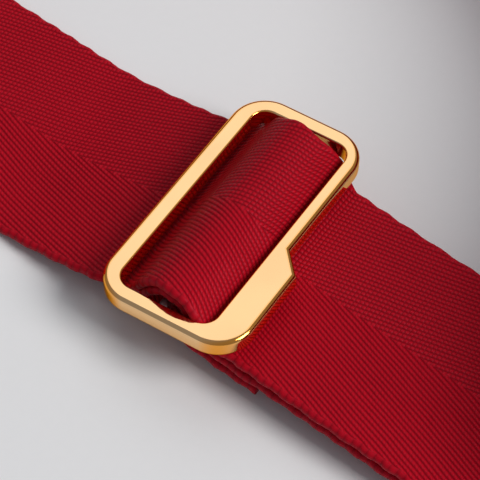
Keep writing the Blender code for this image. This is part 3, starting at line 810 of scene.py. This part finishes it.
def webbing_mesh(name, at, columns_a, columns_b):
    """A stretch of webbing as one closed skin, with relief on a side that has enough columns."""
    middle, side, face = route.read(at)
    across, depth = section(columns_a, columns_b)
    flat = WEB_WIDTH / 2 - HALF_WEB
    fade = np.clip((flat - np.abs(across)) / 0.5, 0, 1)
    fine = np.where(depth > 0, columns_a, columns_b) >= FINE_COLUMNS
    wide, long = np.meshgrid(across, at)
    valley = (1 - twill(wide, long)) * (fade * fine * (np.abs(depth) == 1))[None, :]
    thick = HALF_WEB * depth[None, :] - np.sign(depth)[None, :] * RELIEF * valley
    on_edge = np.clip((np.abs(across) - flat) / HALF_WEB, 0, 1)[None, :]
    scallop = np.sign(across)[None, :] * SCALLOP * on_edge * (mound(long / (2 * PICK)) - 1)
    drift = WANDER * np.sin(long / 23.0) * np.sin(long / 7.1 + 1.0)
    near_edge = np.clip((np.abs(across) - flat) / 1.6 + 1, 0, 1)[None, :] ** 2
    pull = np.sin(long * 1.37 + 1.6 * np.sin(long / 5.3) + 2 * np.sign(across)[None, :])
    drift = drift + EDGE_PULL * near_edge * pull
    points = (middle[:, None, :] + side[:, None, :] * (wide + scallop + drift)[:, :, None]
              + face[:, None, :] * thick[:, :, None])
    rows, ring = wide.shape
    first = np.arange(rows - 1)[:, None] * ring + np.arange(ring)[None, :]
    after = np.arange(rows - 1)[:, None] * ring + (np.arange(ring)[None, :] + 1) % ring
    quads = np.stack([first, after, after + ring, first + ring], axis=-1).reshape(-1, 4)
    ends = [list(range(ring))[::-1], [(rows - 1) * ring + i for i in range(ring)]]
    mesh = bpy.data.meshes.new(name)
    flat_points = points.reshape(-1, 3) * MM + np.array(ZERO)
    mesh.from_pydata(flat_points.tolist(), [], quads.tolist() + ends)
    layer = mesh.uv_layers.new(name="cloth")
    corner = np.zeros(len(mesh.loops), np.int32)
    mesh.loops.foreach_get("vertex_index", corner)
    uv = np.column_stack([wide.ravel(), long.ravel()])[corner]
    layer.data.foreach_set("uv", uv.astype(np.float32).ravel())
    mesh.validate()
    mesh.shade_smooth()
    mesh.set_sharp_from_angle(angle=math.radians(75))
    return mesh


def make_strap():
    """Every stretch of the strap, finer where the strap is closest to the eye."""
    fine_rows, coarse_rows = PICK / 2, 1.1
    plan = {  # nodes it stands for, row spacing, columns on each face
        "strap_lower_wrap": (("webbing_slider_wrap", "webbing_lower_run"), coarse_rows / 2, 60, 60),
        "strap_hook_fold": (("webbing_hook_fold",), coarse_rows / 2, 60, 60),
        "strap_upper": (("webbing_upper_run",), fine_rows, 24, 184),
        "strap_entry_arch": (("webbing_slider_entry", "webbing_slider_arch"), fine_rows, 24, 184),
        "strap_neck": (("webbing_neck_run",), coarse_rows, 48, 48),
        "strap_end_loop": (("webbing_end_loop",), coarse_rows / 2, 60, 60),
    }
    made = {}
    for name, (nodes, spacing, columns_a, columns_b) in plan.items():
        start, end = route.span(name)
        at = np.linspace(start, end, round((end - start) / spacing) + 1)
        obj = bpy.data.objects.new(name, webbing_mesh(name, at, columns_a, columns_b))
        bpy.context.scene.collection.objects.link(obj)
        obj.data.materials.append(looks["cloth"])
        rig.replaces(obj, *nodes)
        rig.slot(obj, "webbing")
        made[name] = (obj, (end - start) * MM)
    return made


def set_strap_moving(strap):
    """Bodies that the stretches follow. Near the slider and the hook plate they pass to another."""
    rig.blend(strap["strap_entry_arch"][0], "webbing", "slider", on_line(TWIST_JOIN), on_line(ARCH_HELD))
    for name in ("strap_upper", "strap_lower_wrap"):
        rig.blend(strap[name][0], "slider", "webbing", on_line(RUN_FREE), on_line(RUN_END))
    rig.blend(strap["strap_hook_fold"][0], "webbing", "hook_plate", *map(on_line, FOLD_TURNS))
    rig.blend(strap["strap_end_loop"][0], "webbing", "hook_plate", *map(on_line, LOOP_TURNS))
    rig.ride(strap["strap_neck"][0], "webbing")
    for name, (obj, length) in strap.items():
        held = "laid" if name in ("strap_upper", "strap_neck", "strap_entry_arch") else "folded"
        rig.sheet(obj, flat=(WEB_WIDTH * MM, length), held=held)


# ---------------------------------------------------------------- solid helpers


def add(name, mesh, look, smooth_angle=35):
    obj = bpy.data.objects.new(name, mesh)
    bpy.context.scene.collection.objects.link(obj)
    if look is not None:
        mesh.materials.clear()
        mesh.materials.append(look)
    mesh.shade_smooth()
    mesh.set_sharp_from_angle(angle=math.radians(smooth_angle))
    return obj


def finish_piece(obj, body, slot, *nodes):
    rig.replaces(obj, *nodes)
    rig.slot(obj, slot)
    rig.ride(obj, body)


def settle(obj, *tools):
    """Applies the object's modifiers and removes the cutters they used."""
    bpy.context.view_layer.update()
    graph = bpy.context.evaluated_depsgraph_get()
    mesh = bpy.data.meshes.new_from_object(obj.evaluated_get(graph), depsgraph=graph)
    obj.modifiers.clear()
    obj.data = mesh
    for tool in tools:
        bpy.data.objects.remove(tool, do_unlink=True)
    return obj


def plate(name, outlines, thickness, middle, look):
    """A flat outline with holes, at a place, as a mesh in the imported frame."""
    curve = bpy.data.curves.new(name, "CURVE")
    curve.dimensions = "2D"
    curve.fill_mode = "BOTH"
    curve.extrude = thickness / 2 * MM
    for outline in outlines:
        spline = curve.splines.new("POLY")
        spline.points.add(len(outline) - 1)
        for point, (x, y) in zip(spline.points, outline):
            point.co = (x * MM, y * MM, 0.0, 1.0)
        spline.use_cyclic_u = True
    mesh = cleaned(curve_mesh(name, curve), PLATE_WELD, math.radians(1))
    mesh.transform(placed(middle))
    return add(name, mesh, look)


def placed(middle, turn=(0.0, 0.0, 0.0)):
    """The matrix that takes a piece to its place, turned by degrees about X, then Y, then Z."""
    rotation = Matrix.Identity(4)
    for angle, axis in zip(turn, "XYZ"):
        rotation = Matrix.Rotation(math.radians(angle), 4, axis) @ rotation
    return Matrix.Translation(row(middle)) @ rotation


def curve_mesh(name, curve):
    source = bpy.data.objects.new(name + "_curve", curve)
    bpy.context.scene.collection.objects.link(source)
    bpy.context.view_layer.update()
    graph = bpy.context.evaluated_depsgraph_get()
    mesh = bpy.data.meshes.new_from_object(source.evaluated_get(graph))
    bpy.data.objects.remove(source, do_unlink=True)
    mesh.name = name
    return mesh


def cleaned(mesh, weld, flat=None):
    """Joins points closer than weld, merges faces less than flat apart, and turns all faces outwards."""
    bm = bmesh.new()
    bm.from_mesh(mesh)
    bmesh.ops.remove_doubles(bm, verts=bm.verts, dist=weld)
    if flat is not None:
        bmesh.ops.dissolve_limit(bm, angle_limit=flat, verts=bm.verts, edges=bm.edges)
    return filled(mesh, bm)


def filled(mesh, bm):
    bmesh.ops.recalc_face_normals(bm, faces=bm.faces)
    bm.to_mesh(mesh)
    bm.free()
    return mesh


def wire(name, points, radius, look, resolution=6):
    """A round wire along points in strap millimetres."""
    curve = bpy.data.curves.new(name, "CURVE")
    curve.dimensions = "3D"
    curve.bevel_depth = radius * MM
    curve.bevel_resolution = resolution
    curve.use_fill_caps = True
    spline = curve.splines.new("POLY")
    spline.points.add(len(points) - 1)
    for point, place in zip(spline.points, points):
        point.co = (*row(place), 1.0)
    return add(name, cleaned(curve_mesh(name, curve), WIRE_WELD), look, 50)


def turned(name, profile, start, direction, look, sides=64):
    """A piece turned about a line. profile: (distance along it, radius), its ends on the line or joined."""
    axis = Vector(direction).normalized()
    turn = Vector((0, 0, 1)).rotation_difference(axis).to_matrix().to_4x4()
    bm = bmesh.new()
    rings = []
    for along, radius in profile:
        if radius == 0:
            rings.append([bm.verts.new((0, 0, along * MM))] * sides)
            continue
        angles = [2 * math.pi * i / sides for i in range(sides)]
        rings.append([bm.verts.new((radius * MM * math.cos(a), radius * MM * math.sin(a), along * MM))
                      for a in angles])
    for low, high in zip(rings, rings[1:]):
        for i in range(sides):
            corners = [low[i], low[(i + 1) % sides], high[(i + 1) % sides], high[i]]
            bm.faces.new(list(dict.fromkeys(corners)))
    bmesh.ops.remove_doubles(bm, verts=bm.verts, dist=TURNED_WELD)
    mesh = filled(bpy.data.meshes.new(name), bm)
    mesh.transform(Matrix.Translation(row(start)) @ turn)
    return add(name, mesh, look, 28)


def rounded_rod(name, radius, start, end, look, chamfer=0.15):
    start, end = Vector(start), Vector(end)
    length = (end - start).length
    profile = [(0, 0), (0, radius - chamfer)]
    profile += [(chamfer - chamfer * math.cos(math.radians(a)), radius - chamfer
                 + chamfer * math.sin(math.radians(a))) for a in (30, 60, 90)]
    profile += [(length - x, r) for x, r in reversed(profile)]
    return turned(name, profile, start, end - start, look, 48)


def block(name, low, high):
    low, high = Vector(low), Vector(high)
    bm = bmesh.new()
    size = Matrix.Diagonal((*(high - low) * MM, 1))
    bmesh.ops.create_cube(bm, size=1.0, matrix=Matrix.Translation(row((low + high) / 2)) @ size)
    mesh = bpy.data.meshes.new(name)
    bm.to_mesh(mesh)
    bm.free()
    return add(name, mesh, None)


def boolean(obj, tool, operation):
    modifier = obj.modifiers.new(operation.lower(), "BOOLEAN")
    modifier.operation = operation
    modifier.solver = "EXACT"
    modifier.object = tool


def round_edges(obj, width, segments=4):
    bevel = obj.modifiers.new("edges", "BEVEL")
    bevel.width = width * MM
    bevel.segments = segments
    bevel.limit_method = "ANGLE"
    bevel.angle_limit = math.radians(40)


def mark_edges(obj):
    """Shades the plate's two faces flat, and marks its rounded edges for the plating's painted warm reflection."""
    faces = obj.data.polygons
    top = max(faces, key=lambda face: face.area).normal.copy()
    rim = obj.data.attributes.new("rim", "FLOAT", "FACE")
    for face, mark in zip(faces, rim.data):
        lie = abs(face.normal.dot(top))
        face.use_smooth = lie < 0.9999
        # rim weighs the painted reflection: none on the flat faces and sides, most half-way round a rounded edge
        mark.value = 4 * lie * (1 - lie)


# ---------------------------------------------------------------- slider


def slider_outline(inset=0.0):
    """Outer edge, counter-clockwise, drawn in by inset; at the step's slant both its ends sink a little."""
    r = SLIDER_CORNER - inset
    bottom, top = -SLIDER_HALF_LENGTH + inset, SLIDER_HALF_LENGTH - inset
    left, right, tab = SLIDER_LEFT + inset, SLIDER_RIGHT - inset, SLIDER_TAB - inset
    slant = math.atan2(STEP_TOP - STEP_FOOT, SLIDER_TAB - SLIDER_RIGHT)
    sink = inset * math.tan((math.pi / 2 - slant) / 2)
    return (arc((tab - r, bottom + r), r, -90, 0, 24)
            + [(tab, STEP_FOOT - sink), (right, STEP_TOP - sink)]
            + arc((right - r, top - r), r, 0, 90, 24)
            + arc((left + r, top - r), r, 90, 180, 24)
            + arc((left + r, bottom + r), r, 180, 270, 24))


def polished_plate(name, outline, holes, outer_edge, inner_edge, matrix, look):
    """A plate whose edges are rounded. outline and holes give their loop, drawn in or grown by a distance."""
    bm = bmesh.new()

    def rings(shape, edge, steps=7):
        turns = [math.radians(90 * k / steps) for k in range(steps + 1)]
        profile = [(edge * (1 - math.sin(a)), PLATE_THICK / 2 - edge * (1 - math.cos(a))) for a in turns]
        profile += [(away, -z) for away, z in reversed(profile)]
        return [[bm.verts.new((x * MM, y * MM, z * MM)) for x, y in shape(away)] for away, z in profile]

    shapes = [rings(outline, outer_edge)] + [rings(hole, inner_edge) for hole in holes]
    for loops in shapes:
        for high, low in zip(loops, loops[1:]):
            for i in range(len(high)):
                k = (i + 1) % len(high)
                bm.faces.new((high[i], low[i], low[k], high[k]))
    for side in (0, -1):
        rim = [bm.edges.get((loops[side][i], loops[side][i - 1])) for loops in shapes
               for i in range(len(loops[side]))]
        bmesh.ops.triangle_fill(bm, edges=rim, use_beauty=True, normal=(0.0, 0.0, 1.0))
    mesh = filled(bpy.data.meshes.new(name), bm)
    mesh.transform(matrix)
    return add(name, mesh, look)


def make_slider():
    seat = (0.0, -SLIDER_PITCH, SLIDER_YAW)
    left, right, bottom, top = WINDOW

    def window(grow):
        return rounded_box(left - grow, right + grow, bottom - grow, top + grow, WINDOW_CORNER + grow)

    frame_piece = polished_plate("slider_plate", slider_outline, [window], OUTER_EDGE, INNER_EDGE,
                                 placed(SLIDER_CENTRE, seat), looks["gold"])
    tilt = placed((0, 0, 0), seat)
    tilt.translation = (0, 0, 0)
    along = tilt @ Vector((0, 1, 0))
    middle = Vector(SLIDER_CENTRE) + tilt @ Vector((BAR_X, 0, 0))
    reach = WINDOW[3] + BAR_HOLE_DEPTH
    hole = turned("bar_hole", [(0, 0), (0, BAR_HOLE_RADIUS), (2 * reach, BAR_HOLE_RADIUS), (2 * reach, 0)],
                  middle - along * reach, along, None)
    boolean(frame_piece, hole, "DIFFERENCE")
    settle(frame_piece, hole)
    mark_edges(frame_piece)
    rod_end = reach - GAP
    bar = rounded_rod("slider_bar", BAR_RADIUS, middle - along * rod_end, middle + along * rod_end,
                      looks["steel_bar"])
    finish_piece(frame_piece, "slider", "gold_plating", "slider_frame")
    finish_piece(bar, "slider", "steel", "slider_centre_bar")


# ---------------------------------------------------------------- hook plate, swivel, hook


def make_hook_plate():
    outline = rounded_box(BAR_ONE[0], BAR_THREE[1], -HOOK_PLATE_HALF, HOOK_PLATE_HALF, SLIDER_CORNER)
    slots_cut = [rounded_box(BAR_ONE[1], BAR_TWO[0], -SLOT_HALF, SLOT_HALF, SLOT_CORNER, 10),
                 rounded_box(BAR_TWO[1], BAR_THREE[0], -SLOT_HALF, SLOT_HALF, SLOT_CORNER, 10)]
    made = plate("hook_bars", [outline] + slots_cut, PLATE_THICK, (0, 0, HOOK_Z), looks["gold"])
    start = (BAR_THREE[0] + 0.4, 0, HOOK_Z)
    length = BOSS_END - start[0]
    flare = [(length * t / 8, BOSS_RADIUS - 0.45 * math.sin(math.pi * t / 8)) for t in range(9)]
    boss = turned("boss", [(0, 0)] + flare + [(length, 0)], start, (1, 0, 0), None)
    bore = turned("bore", [(0, 0), (0, RIVET_BORE), (12, RIVET_BORE), (12, 0)],
                  (BAR_THREE[0] - 2, 0, HOOK_Z), (1, 0, 0), None)
    boolean(made, boss, "UNION")
    boolean(made, bore, "DIFFERENCE")
    round_edges(made, 0.3, 3)
    settle(made, boss, bore)
    mark_edges(made)
    finish_piece(made, "hook_plate", "gold_plating", "hook_plate")


def make_swivel():
    head = BAR_THREE[0] - GAP - RIVET_HEAD_LENGTH
    shank = RIVET_TIP - head
    dome = [(RIVET_HEAD_LENGTH * (1 - math.cos(math.radians(a))) * 0.55,
             RIVET_HEAD_RADIUS * math.sin(math.radians(a))) for a in range(0, 91, 10)]
    rivet = turned("swivel_rivet_polished",
                   dome + [(RIVET_HEAD_LENGTH, RIVET_HEAD_RADIUS), (RIVET_HEAD_LENGTH, RIVET_RADIUS),
                           (shank - 0.2, RIVET_RADIUS), (shank, RIVET_RADIUS - 0.2), (shank, 0)],
                   (head, 0, HOOK_Z), (1, 0, 0), looks["gold"])
    finish_piece(rivet, "hook", "gold_plating", "swivel_rivet")
    thick, lip = WASHER[1] - WASHER[0], 0.12
    profile = [(0, RIVET_BORE), (0, BOSS_RADIUS - lip), (lip, BOSS_RADIUS), (thick - lip, BOSS_RADIUS),
               (thick, BOSS_RADIUS - lip), (thick, RIVET_BORE), (0, RIVET_BORE)]
    washer = turned("washer_turned", profile, (WASHER[0], 0, HOOK_Z), (1, 0, 0), looks["steel_washer"])
    finish_piece(washer, "hook_plate", "steel", "swivel_washer")


def hook_path():
    r = HOOK_BOW_RADIUS
    points = [(SHANK_X - 4.5, r - 1.5), (SHANK_X, r), (SHANK_X + 5, r), (SHANK_X + 10, r)]
    points = through([(x, y, HOOK_Z) for x, y in points], 6)
    bow = [Vector((x, y, HOOK_Z)) for x, y in arc((HOOK_BOW_X, 0), r, 90, -90, 48)]
    nose = [Vector((NOSE_X, -r, HOOK_Z))]
    return points + bow + nose


def make_hook():
    """A casting: its parts are joined and cut sharp, then remeshed and smoothed so that they flow."""
    body = wire("hook_cast", hook_path(), HOOK_WIRE, looks["gold_cast"], 10)
    lug = plate("lug", [rounded_box(*LUG, LUG_CORNER)], 2 * LUG_HALF_THICK, (0, 0, HOOK_Z), None)
    length = COLLAR[1] - COLLAR[0]
    collar = turned("collar", [(0, 0), (0, BOSS_RADIUS), (length, BOSS_RADIUS), (length, 0)],
                    (COLLAR[0], 0, HOOK_Z), (1, 0, 0), None)
    socket = turned("socket", [(0, 0), (0, RIVET_BORE), (5.3, RIVET_BORE), (5.3, 0)],
                    (COLLAR[0] - 1, 0, HOOK_Z), (1, 0, 0), None)
    gate_slot = block("gate_slot", (*SLOT_LOW, HOOK_Z - SLOT_HALF_THICK),
                      (*SLOT_HIGH, HOOK_Z + SLOT_HALF_THICK))
    hole = turned("pin_hole", [(0, 0), (0, PIN_BORE - 0.1), (10, PIN_BORE - 0.1), (10, 0)],
                  (*GATE_PIVOT, HOOK_Z - 5), (0, 0, 1), None)
    for tool in (lug, collar):
        boolean(body, tool, "UNION")
    for tool in (socket, gate_slot, hole):
        boolean(body, tool, "DIFFERENCE")
    settle(body, lug, collar, socket, gate_slot, hole)
    remesh = body.modifiers.new("cast", "REMESH")
    remesh.mode = "VOXEL"
    remesh.voxel_size = CAST_VOXEL * MM
    soften = body.modifiers.new("soften", "SMOOTH")
    soften.factor = 0.5
    soften.iterations = 5
    settle(body)
    body.data.shade_smooth()
    finish_piece(body, "hook", "gold_plating", "hook_body")


def make_gate():
    px, py = GATE_PIVOT
    r = HOOK_BOW_RADIUS
    tab = through([(189.0, -10.6), (190.6, -12.2), (192.8, -13.0), (195.4, -12.4), (196.2, -11.2),
                   (198.0, -r - 2.0)], 6)
    lever = [(GATE_TIP_X, -r - GATE_TIP_HALF), (GATE_TIP_X, -r + GATE_TIP_HALF), (194.0, -6.6)]
    outline = arc((px, py), GATE_ROOT, 100, 225, 24) + [tuple(p) for p in tab] + lever
    gate = plate("gate_lever", [outline], 2 * GATE_HALF_THICK, (0, 0, HOOK_Z), looks["gold_cast"])
    round_edges(gate, 0.4)
    settle(gate)
    bore = turned("gate_bore", [(0, 0), (0, PIN_BORE), (8, PIN_BORE), (8, 0)], (px, py, HOOK_Z - 4),
                  (0, 0, 1), None)
    pocket = block("spring_pocket", (*POCKET_LOW, HOOK_Z - POCKET_HALF_THICK),
                   (*POCKET_HIGH, HOOK_Z + POCKET_HALF_THICK))
    grooves = [wire(f"groove_{i}", [(191.4 + i * 1.1, -13.3 + 0.18 * (i - 1) ** 2, HOOK_Z + z)
                                    for z in (-4, 4)], GROOVE_RADIUS, None) for i in range(4)]
    for tool in (bore, pocket, *grooves):
        boolean(gate, tool, "DIFFERENCE")
    settle(gate, bore, pocket, *grooves)
    mark_edges(gate)
    finish_piece(gate, "gate", "gold_plating", "gate")
    reach = LUG_HALF_THICK - 0.05
    pin = rounded_rod("gate_pin_turned", PIN_RADIUS, (px, py, HOOK_Z - reach), (px, py, HOOK_Z + reach),
                      looks["steel_pin"], 0.2)
    finish_piece(pin, "hook", "steel", "gate_pin")


def make_gate_spring():
    px, py = GATE_PIVOT
    coil, turns = SPRING_COIL, SPRING_TURNS
    steps = round(turns * 40)
    points = []
    for i in range(steps + 1):
        angle = math.radians(90) - 2 * math.pi * turns * (1 - i / steps)
        points.append((px + coil * math.cos(angle), py + coil * math.sin(angle),
                       HOOK_Z + (i / steps - 0.5) * turns * SPRING_PITCH))
    points.append((px + 2.2, py + coil, points[-1][2]))
    spring = wire("gate_spring_wire", points, SPRING_WIRE, looks["steel_pin"], 4)
    finish_piece(spring, "hook", "steel", "gate_spring")


# ---------------------------------------------------------------- stitching


def stitch_points(span, half, length):
    """Middle, direction and step of each stitch of a box with a cross, in plan."""
    left, right = span
    corners = [(left, -half), (right, -half), (right, half), (left, half)]
    runs = list(zip(corners, corners[1:] + corners[:1]))
    runs += [(corners[0], corners[2]), (corners[1], corners[3])]
    for start, end in runs:
        start, end = Vector(start), Vector(end)
        count = max(2, round((end - start).length / length))
        for i in range(count):
            middle = start.lerp(end, (i + 0.5) / count)
            yield middle, (end - start).normalized(), (end - start).length / count


def make_stitches(name, span, half, height, tilt, side, turns, node):
    """Lock stitches: each is a short run of thread that dips into the webbing at its ends."""
    rings, around = 7, 8
    bm = bmesh.new()
    middle_x = (span[0] + span[1]) / 2
    for place, direction, step in stitch_points(span, half, STITCH_LENGTH):
        skew = Matrix.Rotation(math.radians(STITCH_SKEW), 2) @ direction
        out = Vector((-skew.y, skew.x))
        loops = []
        for i in range(rings):
            t = i / (rings - 1) * 2 - 1
            dip = side * (STITCH_DIP * t ** 4 - STITCH_STANDS)
            swell = THREAD_RADIUS * (0.55 + 0.45 * math.sqrt(max(0.0, 1 - t * t)))
            along = place + skew * (t * step * STITCH_SHARE)
            z = height - dip + math.tan(math.radians(tilt)) * (middle_x - along.x)
            ring = []
            for k in range(around):
                a = 2 * math.pi * k / around
                p = along + out * (math.cos(a) * swell)
                ring.append(bm.verts.new(row((p.x, p.y, z + math.sin(a) * swell * 0.8))))
            loops.append(ring)
        for low, high in zip(loops, loops[1:]):
            for k in range(around):
                bm.faces.new((low[k], low[(k + 1) % around], high[(k + 1) % around], high[k]))
        bm.faces.new(loops[0][::-1])
        bm.faces.new(loops[-1])
    obj = add(name, filled(bpy.data.meshes.new(name), bm), looks["thread"], 60)
    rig.replaces(obj, node)
    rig.slot(obj, "thread")
    if turns is None:
        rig.ride(obj, "slider")
    else:
        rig.blend(obj, "webbing", "hook_plate", *map(on_line, turns))


# ---------------------------------------------------------------- floor, light, camera


def make_stage():
    mesh = bpy.data.meshes.new("floor")
    bm = bmesh.new()
    bmesh.ops.create_grid(bm, x_segments=8, y_segments=8, size=12.0)
    bm.to_mesh(mesh)
    bm.free()
    floor = bpy.data.objects.new("floor", mesh)
    mesh.materials.append(floor_material())
    bpy.context.scene.collection.objects.link(floor)
    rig.stage(floor)


def soft_light(name, direction, distance, size, power, colour):
    """A square soft light on that side of the slider, facing it."""
    data = bpy.data.lights.new(name, "AREA")
    data.shape = "SQUARE"
    data.size = size
    data.energy = power
    data.color = colour
    obj = bpy.data.objects.new(name, data)
    bpy.context.scene.collection.objects.link(obj)
    away = Vector(direction).normalized()
    obj.location = row(SLIDER_CENTRE) + away * distance
    obj.rotation_euler = away.to_track_quat("Z", "Y").to_euler()
    obj.visible_camera = False


def make_light():
    world = bpy.data.worlds.new("studio")
    bpy.context.scene.world = world
    world.use_nodes = True
    background = world.node_tree.nodes["Background"]
    background.inputs["Color"].default_value = (*SKY_COLOUR, 1.0)
    background.inputs["Strength"].default_value = SKY_STRENGTH
    for name, settings in LIGHTS.items():
        soft_light(name, *settings)


def make_camera():
    """The photograph's view: from the right and above, rolled a little, through a long lens."""
    azimuth, elevation, roll = (math.radians(angle) for angle in CAMERA_TURN)
    back = Vector((math.sin(azimuth) * math.cos(elevation), -math.cos(azimuth) * math.cos(elevation),
                   math.sin(elevation)))
    right = (-back).cross(Vector((0, 0, 1))).normalized()
    up = right.cross(-back)
    rolled_right = math.cos(roll) * right + math.sin(roll) * up
    rolled_up = -math.sin(roll) * right + math.cos(roll) * up
    look = (-back + CAMERA_AIM[0] * rolled_right + CAMERA_AIM[1] * rolled_up).normalized()
    across = look.cross(rolled_up).normalized()
    top = across.cross(look)
    data = bpy.data.cameras.new("camera")
    data.sensor_width = 36.0
    data.lens = CAMERA_LENS
    data.clip_start = 0.01
    camera = bpy.data.objects.new("camera", data)
    bpy.context.scene.collection.objects.link(camera)
    axes = Matrix((across, top, -look)).transposed().to_4x4()
    aim = Vector((0, SLIDER_CENTRE[1], 0))
    camera.matrix_world = Matrix.Translation(row(aim + back * CAMERA_DISTANCE)) @ axes
    bpy.context.scene.camera = camera


# ---------------------------------------------------------------- assembly

slots = {material["slot"]: material for material in frame["record"]["materials"]}
looks = {
    "cloth": cloth_material(),
    "thread": thread_material(),
    "gold": gold_material("gold_polished", 0.035),
    "gold_cast": gold_material("gold_cast", 0.09),
    "steel_bar": steel_material("steel_bar", 1),
    "steel_washer": steel_material("steel_washer", 0),
    "steel_pin": steel_material("steel_pin", 2),
}
bpy.context.scene.view_settings.view_transform = "Standard"
make_camera()
route = Route(strap_stretches())
strap_pieces = make_strap()
set_strap_moving(strap_pieces)
make_slider()
make_stitches("stitches_slider_end", SLIDER_BOX, SLIDER_BOX_HALF, SLIDER_BOX_Z, SLIDER_BOX_TILT, -1, None,
              "stitch_slider_end")
top_of_end = HOOK_Z + FOLD_RADIUS + 2 * LAYER + HALF_WEB
make_stitches("stitches_hook_end", HOOK_BOX, HOOK_BOX_HALF, top_of_end + STITCH_STANDS, 0.0, 1, LOOP_TURNS,
              "stitch_hook_end")
make_hook_plate()
make_swivel()
make_hook()
make_gate()
make_gate_spring()
make_stage()
make_light()

visual_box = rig.bounds()
with open("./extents.json", "w") as size_file:
    json.dump({"cad": [list(corner) for corner in cad_box],
               "visual": [list(corner) for corner in visual_box]}, size_file)
